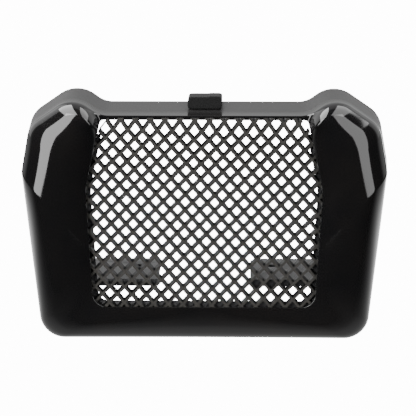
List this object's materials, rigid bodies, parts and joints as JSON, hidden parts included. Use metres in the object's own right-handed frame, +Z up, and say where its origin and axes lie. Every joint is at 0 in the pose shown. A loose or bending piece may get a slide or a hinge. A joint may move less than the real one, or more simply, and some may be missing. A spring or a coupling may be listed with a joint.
{
  "type": "oil cooler cover",
  "caption": "Gloss moulded wrap-around cover with raised shoulders, an expanded metal screen in its front opening, an inner frame with mounting shelves and a rubber edge clip.",
  "frame": {"origin": "middle of the whole part's box, at its lowest height, where the shell's bottom wall rests", "axes": "-Y out of the front of the cover, +X to the right seen from the front, +Z up"},
  "size_m": [0.2094, 0.067, 0.1371],
  "materials": {
    "shell_plastic": "gloss black",
    "screen_metal": "satin black coat",
    "frame_metal": "satin black coat",
    "screw_steel": "zinc plated",
    "clip_rubber": "matte black"
  },
  "bodies": {
    "root": {"shell": "shell_plastic", "screen": "screen_metal", "inner_frame": "frame_metal", "frame_screws": "screw_steel", "edge_clip": "clip_rubber"}
  },
  "joints": []
}
